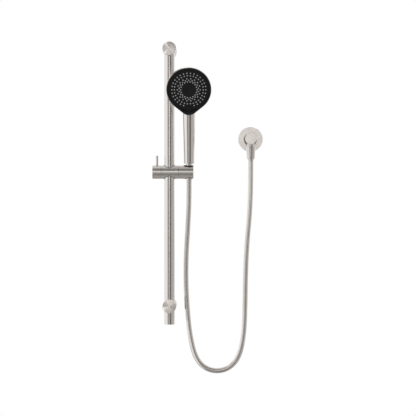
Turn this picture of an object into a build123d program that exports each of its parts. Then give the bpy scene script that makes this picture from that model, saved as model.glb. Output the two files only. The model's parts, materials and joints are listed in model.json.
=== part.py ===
"""Handheld shower set: a riser rail on two posts, a clamping slider, the handset, its hose and a wall outlet.

Millimetres. +Z is up, the wall is the plane Y = 0 and the set stands out from it toward -Y. The origin
is the centre of the upper post's wall face.
"""

import math
import os

from build123d import *

# ---- Rail and posts -----------------------------------------------------------------------------
post_spacing = 600.0  # upper post to lower post
rail_d = 25.0
rail_wall = 1.5
rail_standoff = 57.0  # wall to rail axis
rail_above = 7.0  # rail above the upper post's axis, hidden inside that post
rail_below = 43.0  # rail below the lower post's axis
end_cap_t = 2.0
end_cap_plug = 6.0
post_d = 32.0
post_nose = 17.0  # rail axis to the front end of a post
disc_t = 3.0
disc_gap = 0.2  # shadow line between a post and its front disc
disc_spigot_d = 20.0
disc_spigot_l = 2.6
o_ring_d = 1.5
post_bore_d = 27.0
post_web_t = 8.0  # solid metal behind the rail, which carries the locking screw
wall_plate_t = 9.0
wall_plate_groove = 1.5
screw_hole_d = 4.5
screw_head_d = 9.0
screw_spacing = 15.0
grub_d = 4.0
lock_screw_d = 6.0

# ---- Slider -------------------------------------------------------------------------------------
slider_z = -287.0
slider_d = 32.0
knob_end = -39.7  # along X from the rail axis
knob_joint = -18.6
holder_joint = 21.4
holder_end = 56.0
joint_gap = 0.4
bush_wall = 1.0
bush_lip = 0.5  # how far the bushes stand out of the slider
pad_d = 12.0
pad_back = 6.4  # pad length behind the rail's surface
neck_d = 20.0  # threaded neck that the knob turns on
neck_l = 13.0
clamp_screw_d = 10.0
knob_wall = 4.0  # end wall of the knob
pin_d = 6.0
pin_x = -29.0
pin_height = 22.0
spindle_d = 10.0
spindle_thread_d = 8.0
spindle_head_d = 16.0
spindle_head_t = 2.6
washer_t = 1.0
spring_t = 0.9
friction_washer_d = 24.0

# ---- Holder, hose end and handset -----------------------------------------------------------------
lean = 5.0  # the holder's bore leans out from the wall, in degrees
holder_x = 46.0
liner_wall = 1.0
slot_w = 14.5
mouth_flare = 0.4
nut_l = 30.0
nut_top = 13.5  # the nut's upper end above the slider axis, along the bore
nut_big_d = 23.0
nut_small_d = 18.6
nut_edge = 1.0
thread_d = 19.6  # pitch diameter of G 1/2
thread_l = 8.0
water_d = 7.2
nipple_d = 9.8
flange_t = 2.0
ferrule_d = 12.8
ferrule_l = 12.0
ferrule_out = 5.6  # ferrule seen past the nut
hose_d = 12.5
seal_t = 2.0
inlet_neck_d = 16.5
handle_bottom = 20.0
handle_bottom_d = 25.5
handle_low_h = 58.0
handle_low_d = 26.7
handle_mid_h = 106.5
handle_mid_d = 28.8
handle_top_h = 145.5
handle_top_d = 29.5
shell_wall = 2.0
head_h = 191.5  # centre of the head above the slider axis, along the handle
face_out = 31.0  # handle axis to the face
face_cant = 14.0  # the face leans out this much more than the handle, in degrees
face_r = 51.0
spine_mid_h = head_h - 20.5
spine_mid_d = 23.0
spine_fade_h = head_h - 6.5
spine_fade_d = 10.5
handle_end_h = head_h - 0.5  # the spine of the handle has faded into the head here
lip_r = 20.0
lip_reach = 60.0
rim_w = 1.0  # bright edge of the shell round the black face
rim_back = 1.2  # the shell's edge stands this far behind the face
skirt_depth = 9.0
surround_t = 4.0
dome_depth = 30.0
disc_r = 46.5  # turning spray disc
plate_t = 3.0
mat_t = 1.5
diverter_t = 2.5
seat_t = 3.0
nozzle_r = 1.45
nozzle_out = 0.7
nozzle_rings = [
    (39.2, 30, 6.0),
    (33.3, 30, 6.0),
    (26.4, 18, 10.0),
    (22.4, 18, 0.0),
    (18.8, 18, 10.0),
]  # radius, copies, first angle from the top
tab_d = 11.6
tab_r = 46.0
tab_out = 1.0
tab_swing = 15.0
cap_r = 8.0
cap_out = 0.4

# ---- Wall outlet ------------------------------------------------------------------------------------
outlet_x = 191.0
outlet_z = -208.0
rose_d = 58.0
rose_t = 5.0
elbow_d = 27.5
elbow_l = 48.0
spigot_y = 34.0
spigot_gap = 4.6  # spigot seen between the elbow and the hose nut
inlet_r = 9.3  # G 1/2 female
inlet_l = 15.0

# ---- Clearances -------------------------------------------------------------------------------------
fit = 0.05  # running fit, on the radius
slip = 0.1  # free fit, on the radius
loose = 0.3

os.makedirs("parts", exist_ok=True)


def save(piece, name):
    """Label a finished piece and write it to its own file."""
    piece.part.label = name
    export_step(piece.part, f"parts/{name}.step")


def turned(frame, outline):
    """Revolve a closed outline of (radius, height) points about a frame's z axis."""
    with BuildPart() as piece:
        with BuildSketch(Plane(frame.origin, x_dir=frame.x_dir, z_dir=-frame.y_dir)):
            with BuildLine():
                Polyline(*outline, close=True)
            make_face()
        revolve(axis=Axis(frame.origin, frame.z_dir))
    return piece


def tube(frame, low, high, outer_r, inner_r):
    """A straight sleeve, or a rod where inner_r is 0, between two heights of a frame."""
    return turned(frame, [(inner_r, low), (outer_r, low), (outer_r, high), (inner_r, high)])


# ---- Frames ---------------------------------------------------------------------------------------
rail_r = rail_d / 2
post_r = post_d / 2
slider_r = slider_d / 2
rail_frame = Plane((0, -rail_standoff, 0), x_dir=(1, 0, 0), z_dir=(0, 0, 1))
post_z = [0.0, -post_spacing]
post_frames = [Plane((0, 0, z), x_dir=(1, 0, 0), z_dir=(0, -1, 0)) for z in post_z]
post_names = ["upper", "lower"]
slider_frame = Plane((0, -rail_standoff, slider_z), x_dir=(0, 0, 1), z_dir=(1, 0, 0))
slider_up = Plane((0, -rail_standoff, slider_z), x_dir=(1, 0, 0), z_dir=(0, 0, 1))

lean_sin = math.sin(math.radians(lean))
lean_cos = math.cos(math.radians(lean))
hand_frame = Plane(
    (holder_x, -rail_standoff, slider_z), x_dir=(1, 0, 0), z_dir=(0, -lean_sin, lean_cos)
)
face_lean = math.radians(lean + face_cant)
head_centre = hand_frame.from_local_coords((0, -face_out, head_h))
face_frame = Plane(
    head_centre, x_dir=(1, 0, 0), z_dir=(0, -math.cos(face_lean), -math.sin(face_lean))
)
outlet_frame = Plane((outlet_x, 0, outlet_z), x_dir=(1, 0, 0), z_dir=(0, -1, 0))
spigot_frame = Plane((outlet_x, -spigot_y, outlet_z), x_dir=(1, 0, 0), z_dir=(0, 0, -1))

# ---- Rail, posts and their front discs ----------------------------------------------------------------
rail_top = rail_above
rail_bottom = -post_spacing - rail_below
rail = tube(rail_frame, rail_bottom + end_cap_t, rail_top, rail_r, rail_r - rail_wall)
save(rail, "rail")

plug_r = rail_r - rail_wall - fit
rail_end_cap = turned(
    rail_frame,
    [
        (0, rail_bottom),
        (rail_r, rail_bottom),
        (rail_r, rail_bottom + end_cap_t),
        (plug_r, rail_bottom + end_cap_t),
        (plug_r, rail_bottom + end_cap_t + end_cap_plug),
        (0, rail_bottom + end_cap_t + end_cap_plug),
    ],
)
save(rail_end_cap, "rail_end_cap")

post_front = rail_standoff + post_nose
web_back = rail_standoff - rail_r - post_web_t
recess_floor = post_front - disc_spigot_l - slip
disc_back = post_front + disc_gap
spigot_r = disc_spigot_d / 2
groove_r = spigot_r - (o_ring_d - slip) * 0.8
groove_low = post_front - 2.0
plate_r = post_bore_d / 2 - slip
groove_mid = wall_plate_t / 2
groove_half = grub_d / 2 + loose
lock_screw_r = lock_screw_d / 2
grub_r = grub_d / 2

lock_screws = []
grub_screws = []
for name, frame, z in zip(post_names, post_frames, post_z):
    rail_seat_top = rail_top + loose if z == post_z[0] else post_d
    with BuildPart() as post:
        with BuildSketch(Plane(frame.origin, x_dir=frame.x_dir, z_dir=-frame.y_dir)):
            with BuildLine():
                Polyline(
                    (0, web_back),
                    (post_bore_d / 2, web_back),
                    (post_bore_d / 2, 0),
                    (post_r, 0),
                    (post_r, post_front),
                    (spigot_r + slip, post_front),
                    (spigot_r + slip, recess_floor),
                    (0, recess_floor),
                    close=True,
                )
            make_face()
        revolve(axis=Axis(frame.origin, frame.z_dir))
        with BuildSketch(rail_frame.offset(z - post_d)):
            Circle(rail_r + fit)
        extrude(amount=post_d + rail_seat_top, mode=Mode.SUBTRACT)
        with BuildSketch(frame.offset(web_back)):
            Circle(lock_screw_r + fit)
        extrude(amount=post_web_t, mode=Mode.SUBTRACT)
        with BuildSketch(Plane((0, -groove_mid, z), x_dir=(1, 0, 0), z_dir=(0, 0, -1))):
            Circle(grub_r + fit)
        extrude(amount=post_d, mode=Mode.SUBTRACT)
    save(post, f"{name}_post")

    front_disc = turned(
        frame,
        [
            (0, post_front - disc_spigot_l),
            (spigot_r, post_front - disc_spigot_l),
            (spigot_r, groove_low),
            (groove_r, groove_low),
            (groove_r, groove_low + o_ring_d),
            (spigot_r, groove_low + o_ring_d),
            (spigot_r, disc_back),
            (post_r, disc_back),
            (post_r, disc_back + disc_t - 0.5),
            (post_r - 0.5, disc_back + disc_t),
            (0, disc_back + disc_t),
        ],
    )
    save(front_disc, f"{name}_front_disc")

    o_ring = tube(frame, groove_low + fit, groove_low + o_ring_d - fit, spigot_r + slip - fit, groove_r + fit)
    save(o_ring, f"{name}_disc_o_ring")

    with BuildPart() as wall_plate:
        with BuildSketch(Plane(frame.origin, x_dir=frame.x_dir, z_dir=-frame.y_dir)):
            with BuildLine():
                Polyline(
                    (0, 0),
                    (plate_r, 0),
                    (plate_r, groove_mid - groove_half),
                    (plate_r - wall_plate_groove, groove_mid - groove_half),
                    (plate_r - wall_plate_groove, groove_mid + groove_half),
                    (plate_r, groove_mid + groove_half),
                    (plate_r, wall_plate_t),
                    (0, wall_plate_t),
                    close=True,
                )
            make_face()
        revolve(axis=Axis(frame.origin, frame.z_dir))
        with Locations(frame.offset(wall_plate_t)):
            with GridLocations(screw_spacing, screw_spacing, 1, 2):
                CounterSinkHole(screw_hole_d / 2, screw_head_d / 2)
    save(wall_plate, f"{name}_wall_plate")

    screw = tube(frame, web_back + 1, rail_standoff - rail_r - fit, lock_screw_r, 0)
    lock_screws.append(screw.part)
    grub_frame = Plane((0, -groove_mid, z), x_dir=(1, 0, 0), z_dir=(0, 0, -1))
    grub = tube(grub_frame, plate_r - wall_plate_groove + fit, post_r - loose, grub_r, 0)
    grub_screws.append(grub.part)

for name, screws in {"rail_lock_screws": lock_screws, "post_grub_screws": grub_screws}.items():
    with BuildPart() as group:
        for screw in screws:
            add(screw)
    save(group, name)

# ---- Slider: two thin bushes on the rail, the body and its clamp --------------------------------------
bush_r = rail_r + fit + bush_wall
body_bore_r = bush_r + fit
pad_r = pad_d / 2
pad_end = rail_r + pad_back
pad_travel = 0.3
bush_low = pad_r + joint_gap
neck_r = neck_d / 2
neck_end = knob_joint - neck_l
clamp_screw_r = clamp_screw_d / 2
screw_tip = -pad_end - pad_travel - fit
chamber_end = screw_tip - slip
spindle_r = spindle_d / 2
spindle_thread_r = spindle_thread_d / 2
spindle_tip = body_bore_r + washer_t
friction_washer_r = friction_washer_d / 2

for name, direction in {"upper": 1, "lower": -1}.items():
    with BuildPart() as bush:
        with BuildSketch(slider_up):
            Circle(bush_r)
            Circle(rail_r + fit, mode=Mode.SUBTRACT)
        extrude(amount=direction * slider_d)
        with BuildSketch(slider_frame.offset(-slider_d)):
            Circle(slider_r + bush_lip)
        extrude(amount=2 * slider_d, mode=Mode.INTERSECT)
        with BuildSketch(slider_up):
            Circle(slider_d)
        extrude(amount=direction * bush_low, mode=Mode.SUBTRACT)
    save(bush, f"{name}_rail_bush")

with BuildPart() as slider_body:
    with BuildSketch(slider_frame.offset(knob_joint)):
        Circle(slider_r)
    extrude(amount=holder_joint - knob_joint)
    with BuildSketch(slider_frame.offset(neck_end)):
        Circle(neck_r)
    extrude(amount=knob_joint - neck_end)
    with BuildSketch(slider_up.offset(-slider_d)):
        Circle(body_bore_r)
    extrude(amount=2 * slider_d, mode=Mode.SUBTRACT)
    with BuildSketch(slider_frame.offset(chamber_end)):
        Circle(pad_r + slip)
    extrude(amount=-chamber_end, mode=Mode.SUBTRACT)
    with BuildSketch(slider_frame.offset(neck_end)):
        Circle(clamp_screw_r + fit)
    extrude(amount=chamber_end - neck_end, mode=Mode.SUBTRACT)
    with BuildSketch(slider_frame.offset(rail_r)):
        Circle(spindle_thread_r + fit)
    extrude(amount=holder_joint - rail_r, mode=Mode.SUBTRACT)
save(slider_body, "slider_body")

with BuildPart() as brake_pad:
    with BuildSketch(slider_frame.offset(-pad_end)):
        Circle(pad_r)
    extrude(amount=pad_end)
    with BuildSketch(slider_up.offset(-slider_d)):
        Circle(rail_r + fit)
    extrude(amount=2 * slider_d, mode=Mode.SUBTRACT)
save(brake_pad, "brake_pad")

knob_front = knob_joint - joint_gap
knob_bore_end = neck_end - joint_gap
screw_head_r = neck_r - 2.5
screw_head_end = knob_end + knob_wall
with BuildPart() as clamp_knob:
    with BuildSketch(slider_frame.offset(knob_end)):
        Circle(slider_r)
    extrude(amount=knob_front - knob_end)
    with BuildSketch(slider_frame.offset(knob_bore_end)):
        Circle(neck_r + slip)
    extrude(amount=knob_front - knob_bore_end, mode=Mode.SUBTRACT)
    with BuildSketch(slider_frame.offset(screw_head_end)):
        RegularPolygon(screw_head_r, 6)
    extrude(amount=knob_bore_end - screw_head_end, mode=Mode.SUBTRACT)
    with BuildSketch(Plane((pin_x, -rail_standoff, slider_z), x_dir=(1, 0, 0), z_dir=(0, 0, 1))):
        Circle(pin_d / 2 + fit)
    extrude(amount=slider_d, mode=Mode.SUBTRACT)
    chamfer(clamp_knob.faces().sort_by(Axis.X)[0].edges(), 0.6)
save(clamp_knob, "clamp_knob")

with BuildPart() as clamp_screw:
    with BuildSketch(slider_frame.offset(screw_tip)):
        Circle(clamp_screw_r)
    extrude(amount=knob_bore_end - screw_tip)
    with BuildSketch(slider_frame.offset(screw_head_end + fit)):
        RegularPolygon(screw_head_r - fit, 6)
    extrude(amount=knob_bore_end - screw_head_end - fit)
save(clamp_screw, "clamp_screw")

pin_frame = Plane((pin_x, -rail_standoff, slider_z), x_dir=(1, 0, 0), z_dir=(0, 0, 1))
pin_top = slider_r + pin_height
with BuildPart() as clamp_pin:
    with BuildSketch(pin_frame.offset(neck_r + slip + loose)):
        Circle(pin_d / 2)
    extrude(amount=pin_top - neck_r - slip - loose)
    fillet(clamp_pin.faces().sort_by(Axis.Z)[-1].edges(), 0.8)
save(clamp_pin, "clamp_pin")

# ---- Holder on its tilting joint ----------------------------------------------------------------------
friction_face = holder_joint + washer_t
collar_end = friction_face + fit + 4.5
spring_end = collar_end + fit + spring_t
head_start = spring_end + fit
head_end = head_start + spindle_head_t
mouth = slider_r / lean_cos + 4

tilt_spindle = turned(
    slider_frame,
    [
        (0, spindle_tip),
        (spindle_thread_r, spindle_tip),
        (spindle_thread_r, holder_joint),
        (spindle_r, holder_joint),
        (spindle_r, head_start),
        (spindle_head_d / 2, head_start),
        (spindle_head_d / 2, head_end),
        (0, head_end),
    ],
)
save(tilt_spindle, "tilt_spindle")
friction_washer = tube(slider_frame, holder_joint, friction_face, friction_washer_r, spindle_r + slip)
save(friction_washer, "tilt_friction_washer")
spring_washer = tube(slider_frame, collar_end + fit, spring_end, spindle_head_d / 2, spindle_r + slip)
save(spring_washer, "tilt_spring_washer")

nut_big_r = nut_big_d / 2
nut_small_r = nut_small_d / 2
taper = (nut_big_r - nut_small_r) / (nut_l - nut_edge)


def cone_r(height):
    """Radius of the holder's cone at a height along the bore, one running fit outside the nut."""
    return nut_big_r + fit + (height - nut_top + nut_edge) * taper


bore_low = -mouth - slider_r
bore_high = mouth + slider_r
with BuildPart() as holder:
    with BuildSketch(slider_frame.offset(holder_joint + joint_gap)):
        Circle(slider_r)
    extrude(amount=holder_end - holder_joint - joint_gap)
    chamfer(holder.faces().sort_by(Axis.X)[-1].edges(), 0.5)
    with BuildSketch(Plane(hand_frame.origin, x_dir=(1, 0, 0), z_dir=-hand_frame.y_dir)):
        with BuildLine():
            Polyline(
                (0, bore_low),
                (cone_r(bore_low) + liner_wall + fit, bore_low),
                (cone_r(bore_high) + liner_wall + fit, bore_high),
                (0, bore_high),
                close=True,
            )
        make_face()
    revolve(axis=Axis(hand_frame.origin, hand_frame.z_dir), mode=Mode.SUBTRACT)
    with BuildSketch(hand_frame.offset(-2 * slider_d)):
        with Locations((slider_d, 0)):
            Rectangle(2 * slider_d, slot_w)
    extrude(amount=4 * slider_d, mode=Mode.SUBTRACT)
    with BuildSketch(slider_frame.offset(holder_joint)):
        Circle(friction_washer_r + slip)
    extrude(amount=washer_t + fit, mode=Mode.SUBTRACT)
    with BuildSketch(slider_frame.offset(holder_joint)):
        Circle(spindle_r + fit)
    extrude(amount=holder_x - holder_joint, mode=Mode.SUBTRACT)
    with BuildSketch(slider_frame.offset(collar_end)):
        Circle(spindle_head_d / 2 + slip)
    extrude(amount=holder_x - collar_end, mode=Mode.SUBTRACT)
save(holder, "holder")

with BuildPart() as holder_liner:
    with BuildSketch(Plane(hand_frame.origin, x_dir=(1, 0, 0), z_dir=-hand_frame.y_dir)):
        with BuildLine():
            Polyline(
                (cone_r(bore_low), bore_low),
                (cone_r(bore_low) + liner_wall, bore_low),
                (cone_r(bore_high) + liner_wall, bore_high),
                (cone_r(bore_high) + mouth_flare, bore_high),
                (cone_r(nut_top) + mouth_flare, nut_top + 1.5),
                (cone_r(nut_top - nut_edge), nut_top - nut_edge),
                close=True,
            )
        make_face()
    revolve(axis=Axis(hand_frame.origin, hand_frame.z_dir))
    with BuildSketch(slider_frame.offset(holder_joint)):
        Circle(slider_r + 0.3)
    extrude(amount=holder_end - holder_joint - 0.2, mode=Mode.INTERSECT)
    with BuildSketch(hand_frame.offset(-2 * slider_d)):
        with Locations((slider_d, 0)):
            Rectangle(2 * slider_d, slot_w)
    extrude(amount=4 * slider_d, mode=Mode.SUBTRACT)
save(holder_liner, "holder_liner")

# ---- Hose ends: conical nut, nipple, ferrule and washer, alike at both ends ---------------------------
elbow_r = elbow_d / 2
thread_r = thread_d / 2
water_r = water_d / 2
nipple_r = nipple_d / 2
ferrule_r = ferrule_d / 2
flange_low = -thread_l - seal_t - flange_t
hose_start = -nut_l - ferrule_out
outlet_nut_z = outlet_z - elbow_r - spigot_gap
hose_end_frames = {
    "handset": hand_frame.offset(nut_top),
    "outlet": Plane((outlet_x, -spigot_y, outlet_nut_z), x_dir=(1, 0, 0), z_dir=(0, 0, 1)),
}
for name, frame in hose_end_frames.items():
    hose_nut = turned(
        frame,
        [
            (thread_r + fit, 0),
            (nut_big_r - nut_edge, 0),
            (nut_big_r, -nut_edge),
            (nut_small_r, -nut_l),
            (ferrule_r + slip, -nut_l),
            (ferrule_r + slip, flange_low),
            (thread_r + fit, flange_low),
        ],
    )
    save(hose_nut, f"{name}_hose_nut")
    nipple = turned(
        frame,
        [
            (water_r, hose_start),
            (nipple_r, hose_start),
            (nipple_r, flange_low),
            (thread_r - fit, flange_low),
            (thread_r - fit, flange_low + flange_t),
            (water_r, flange_low + flange_t),
        ],
    )
    save(nipple, f"{name}_hose_nipple")
    ferrule = tube(frame, hose_start, hose_start + ferrule_l, ferrule_r, nipple_r)
    save(ferrule, f"{name}_ferrule")
    seal = tube(frame, flange_low + flange_t, -thread_l, thread_r - fit, water_r)
    save(seal, f"{name}_hose_washer")

# ---- Hose: hangs in a long loop from the holder to the outlet -----------------------------------------
hose_top = hose_end_frames["handset"].from_local_coords((0, 0, hose_start))
hose_far = hose_end_frames["outlet"].from_local_coords((0, 0, hose_start))
first_run = 42.0
last_run = 55.0
hose_route = [
    tuple(hose_top),
    tuple(hose_top - hand_frame.z_dir * first_run),
    (43.4, -47.0, -410.0),
    (38.8, -43.0, -480.0),
    (38.2, -40.5, -552.0),
    (42.3, -38.5, -618.0),
    (47.7, -37.0, -670.0),
    (59.3, -36.0, -720.0),
    (79.6, -35.2, -746.5),
    (111.5, -34.5, -756.6),
    (143.4, -34.0, -746.5),
    (164.0, -34.0, -719.5),
    (174.6, -34.0, -672.0),
    (177.6, -34.0, -606.0),
    (178.4, -34.0, -530.0),
    (181.8, -34.0, -455.0),
    (188.6, -34.0, -382.0),
    (outlet_x, -spigot_y, hose_far.Z - last_run),
    tuple(hose_far),
]


def bend_radii(route, share=0.45):
    """The largest tangent arc that each corner's two runs allow."""
    points = [Vector(*point) for point in route]
    radii = []
    for before, corner, after in zip(points, points[1:], points[2:]):
        turn = math.radians((corner - before).get_angle(after - corner))
        shorter = min((corner - before).length, (after - corner).length)
        radii.append(share * shorter / math.tan(turn / 2))
    return radii


hose_radii = bend_radii(hose_route)
print("hose bend radii:", [round(radius) for radius in hose_radii])
with BuildPart() as hose:
    with BuildLine() as hose_line:
        FilletPolyline(*hose_route, radius=hose_radii)
    with BuildSketch(Plane(hose_top, z_dir=-hand_frame.z_dir)):
        Circle(hose_d / 2)
    sweep(path=hose_line.line)
hose_length = hose_line.wire().length
hose_volume = math.pi * (hose_d / 2) ** 2 * hose_length
print("hose length:", round(hose_length, 1), "volume share:", round(hose.part.volume / hose_volume, 4))
save(hose, "hose")

# ---- Wall outlet --------------------------------------------------------------------------------------
rose = turned(
    outlet_frame,
    [
        (elbow_r + slip, 0),
        (rose_d / 2, 0),
        (rose_d / 2, rose_t - 0.6),
        (rose_d / 2 - 0.6, rose_t),
        (elbow_r + slip, rose_t),
    ],
)
save(rose, "outlet_rose")

collar_r = 8.4
valve_r = 6.9
valve_low = 8.0
spigot_end = elbow_r + spigot_gap + thread_l
chamber_r = 6.0
with BuildPart() as outlet_elbow:
    with BuildSketch(outlet_frame):
        Circle(elbow_r)
    extrude(amount=elbow_l)
    chamfer(outlet_elbow.faces().sort_by(Axis.Y)[0].edges(), 0.6)
    with BuildSketch(spigot_frame):
        Circle(collar_r)
    extrude(amount=elbow_r + spigot_gap + joint_gap)
    with BuildSketch(spigot_frame.offset(elbow_r + spigot_gap + joint_gap)):
        Circle(thread_r)
    extrude(amount=thread_l - joint_gap)
    with BuildSketch(outlet_frame):
        Circle(inlet_r)
    extrude(amount=inlet_l, mode=Mode.SUBTRACT)
    with BuildSketch(outlet_frame.offset(inlet_l)):
        Circle(chamber_r)
    extrude(amount=spigot_y - inlet_l + chamber_r, mode=Mode.SUBTRACT)
    with BuildSketch(spigot_frame):
        Circle(valve_r + fit)
    extrude(amount=spigot_end, mode=Mode.SUBTRACT)
save(outlet_elbow, "outlet_elbow")

# non-return valve: a cartridge in the spigot with a sprung poppet
seat_r = 3.4
poppet_r = 4.6
stem_r = 1.1
spider_t = 1.5
valve_wall = 1.6
poppet_lift = 2.0
poppet_low = valve_low + spider_t + 0.1
stem_end = spigot_end - poppet_lift - 0.6
spider_low = stem_end - spider_t
with BuildPart() as valve_body:
    with BuildSketch(spigot_frame.offset(valve_low)):
        Circle(valve_r)
        Circle(seat_r, mode=Mode.SUBTRACT)
    extrude(amount=spigot_end - valve_low)
    with BuildSketch(spigot_frame.offset(valve_low + spider_t)):
        Circle(valve_r - valve_wall)
    extrude(amount=spigot_end - valve_low - spider_t, mode=Mode.SUBTRACT)
    with BuildSketch(spigot_frame.offset(spider_low)):
        Circle(valve_r - valve_wall)
        Circle(stem_r + slip, mode=Mode.SUBTRACT)
        with PolarLocations(3.2, 3):
            Circle(1.3, mode=Mode.SUBTRACT)
    extrude(amount=spider_t)
save(valve_body, "check_valve_body")
poppet = turned(
    spigot_frame,
    [
        (0, poppet_low),
        (seat_r - 0.6, poppet_low),
        (poppet_r, poppet_low + 1.2),
        (poppet_r, poppet_low + 1.8),
        (stem_r, poppet_low + 1.8),
        (stem_r, stem_end),
        (0, stem_end),
    ],
)
save(poppet, "check_valve_poppet")


def coil(frame, low, high, radius, wire_r, turns):
    """A compression spring's wire between two heights of a frame."""
    start = frame.offset(low + wire_r)
    length = high - low - 2 * wire_r
    with BuildPart() as spring:
        with BuildLine() as wire_line:
            Helix(length / turns, length, radius, center=start.origin, direction=start.z_dir)
        with BuildSketch(Plane(wire_line.line @ 0, z_dir=wire_line.line % 0)):
            Circle(wire_r)
        sweep(path=wire_line.line, is_frenet=True)
    return spring


valve_spring = coil(spigot_frame, poppet_low + 1.8 + slip, spider_low - slip, 2.4, 0.3, 4)
save(valve_spring, "check_valve_spring")

# ---- Handset shell ------------------------------------------------------------------------------------
hand_profile = Plane(hand_frame.origin, x_dir=(1, 0, 0), z_dir=-hand_frame.y_dir)
hand_axis = Axis(hand_frame.origin, hand_frame.z_dir)
dome_profile = Plane(face_frame.origin, x_dir=(1, 0, 0), z_dir=-face_frame.y_dir)
face_axis = Axis(face_frame.origin, face_frame.z_dir)
dome_r = face_r + rim_w


def face_outline(depth, grow):
    """The face's outline, a circle drawn out into a lip over the handle, at a depth behind the face."""
    with BuildSketch(face_frame.offset(-depth)) as outline:
        with BuildLine():
            CenterArc((0, 0), face_r + grow, 0, 360)
            CenterArc((0, lip_r - lip_reach), lip_r + grow, 0, 360)
        make_hull()
    return outline.sketch


def handle_profile(inset, low):
    """Half of the handle's long section, which swells upward and fades into the back of the head."""
    with BuildSketch(hand_profile) as profile:
        with BuildLine():
            Spline(
                (handle_bottom_d / 2 - inset, low),
                (handle_low_d / 2 - inset, handle_low_h),
                (handle_mid_d / 2 - inset, handle_mid_h),
                (handle_top_d / 2 - inset, handle_top_h),
                tangents=[(0, 1), (0, 1)],
            )
            Spline(
                (handle_top_d / 2 - inset, handle_top_h),
                (spine_mid_d / 2 - inset, spine_mid_h),
                (spine_fade_d / 2 - inset, spine_fade_h),
                (0, handle_end_h - inset),
                tangents=[(0, 1), (-1, 0)],
            )
            Polyline((0, handle_end_h - inset), (0, low), (handle_bottom_d / 2 - inset, low))
        make_face()
    return profile.sketch


def dome_section(radius, front, depth):
    """Half of the head's section: a short skirt closed by a shallow dome."""
    with BuildSketch(dome_profile) as section:
        with BuildLine():
            Polyline((0, -depth), (0, -front), (radius, -front), (radius, -skirt_depth))
            TangentArc((0, -depth), (radius, -skirt_depth), tangent=(1, 0))
        make_face()
    return section.sketch


plate_front = 0.2  # the turning disc lies this far behind the surround
plate_back = plate_front + plate_t
mat_back = plate_back + mat_t
diverter_back = mat_back + diverter_t
seal_gap = 1.2
seat_front = diverter_back + seal_gap
seat_back = seat_front + seat_t
boss_r = 3.5
boss_circle = 38.0
boss_low = 17.2
seat_screw_r = 1.2
seat_screw_l = 5.0

with BuildPart() as handset_shell:
    add(face_outline(rim_back, rim_w))
    extrude(amount=skirt_depth - rim_back, dir=-face_frame.z_dir)
    add(dome_section(dome_r, rim_back, dome_depth))
    revolve(axis=face_axis)
    add(handle_profile(0, handle_bottom))
    revolve(axis=hand_axis)
    add(face_outline(surround_t + slip, slip))
    extrude(amount=dome_depth, dir=face_frame.z_dir, mode=Mode.SUBTRACT)
    add(dome_section(dome_r - shell_wall, -rim_back, dome_depth - shell_wall))
    revolve(axis=face_axis, mode=Mode.SUBTRACT)
    add(handle_profile(shell_wall, handle_bottom - shell_wall))
    revolve(axis=hand_axis, mode=Mode.SUBTRACT)
    with BuildSketch(face_frame.offset(-seat_back - fit)):
        with PolarLocations(boss_circle, 3, start_angle=90):
            Circle(boss_r)
            Circle(seat_screw_r, mode=Mode.SUBTRACT)
    extrude(amount=seat_back - boss_low)
save(handset_shell, "handset_shell")

# ---- Face: fixed black surround with its lip, and the turning spray disc ------------------------------
hole_gap = 0.2
tab_depth = 2.6
tab_path = CenterArc((0, 0), tab_r, -90 - tab_swing, 2 * tab_swing)
surround_bore_r = disc_r + 0.4
with BuildPart() as face_surround:
    add(face_outline(0, 0))
    extrude(amount=surround_t, dir=-face_frame.z_dir)
    with BuildSketch(face_frame):
        Circle(surround_bore_r)
    extrude(amount=-surround_t, mode=Mode.SUBTRACT)
    with BuildSketch(face_frame.offset(-tab_depth - loose)):
        SlotArc(tab_path, tab_d + 2 * loose)
    extrude(amount=2 * surround_t, dir=face_frame.z_dir, mode=Mode.SUBTRACT)
save(face_surround, "face_surround")


def nozzle_points():
    """Centres of the nozzles in rings about the face's centre, left out where the selector's tab is."""
    points = []
    for radius, count, first in nozzle_rings:
        for step in range(count):
            angle = math.radians(90 + first + step * 360 / count)
            point = (radius * math.cos(angle), radius * math.sin(angle))
            if math.dist(point, (0, -tab_r)) > tab_d / 2 + 2 * nozzle_r:
                points.append(point)
    return points


axle_r = 2.4
axle_head_r = 4.5
cap_t = 0.9
axle_head_t = 1.4
cap_back = plate_front + cap_t
axle_head_back = cap_back + axle_head_t
axle_end = seat_back + 5.0
with BuildPart() as spray_plate:
    with BuildSketch(face_frame.offset(-plate_back)):
        Circle(disc_r)
        Circle(axle_r + slip, mode=Mode.SUBTRACT)
        with Locations(*nozzle_points()):
            Circle(nozzle_r + hole_gap, mode=Mode.SUBTRACT)
    extrude(amount=plate_t)
    with BuildSketch(face_frame.offset(-cap_back - fit)):
        Circle(cap_r + fit)
    extrude(amount=plate_t, mode=Mode.SUBTRACT)
    with BuildSketch(face_frame.offset(-axle_head_back - fit)):
        Circle(axle_head_r + loose)
    extrude(amount=plate_t, mode=Mode.SUBTRACT)
    with BuildSketch(face_frame.offset(-tab_depth)):
        with Locations((0, -tab_r)):
            Circle(tab_d / 2 + fit)
    extrude(amount=plate_t, mode=Mode.SUBTRACT)
save(spray_plate, "spray_plate")

mat_r = disc_r - 2.5
with BuildPart() as nozzle_mat:
    with BuildSketch(face_frame.offset(-mat_back)):
        Circle(mat_r)
        Circle(axle_r + slip, mode=Mode.SUBTRACT)
    extrude(amount=mat_t)
    with BuildSketch(face_frame.offset(-plate_back)):
        with Locations(*nozzle_points()):
            Circle(nozzle_r)
    extrude(amount=plate_t + nozzle_out)
save(nozzle_mat, "nozzle_mat")

with BuildPart() as selector_tab:
    with BuildSketch(face_frame.offset(-tab_depth)):
        with Locations((0, -tab_r)):
            Circle(tab_d / 2)
    extrude(amount=tab_depth + tab_out)
    fillet(selector_tab.faces().sort_by(Axis(face_frame.origin, face_frame.z_dir))[-1].edges(), 0.6)
save(selector_tab, "selector_tab")

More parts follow.
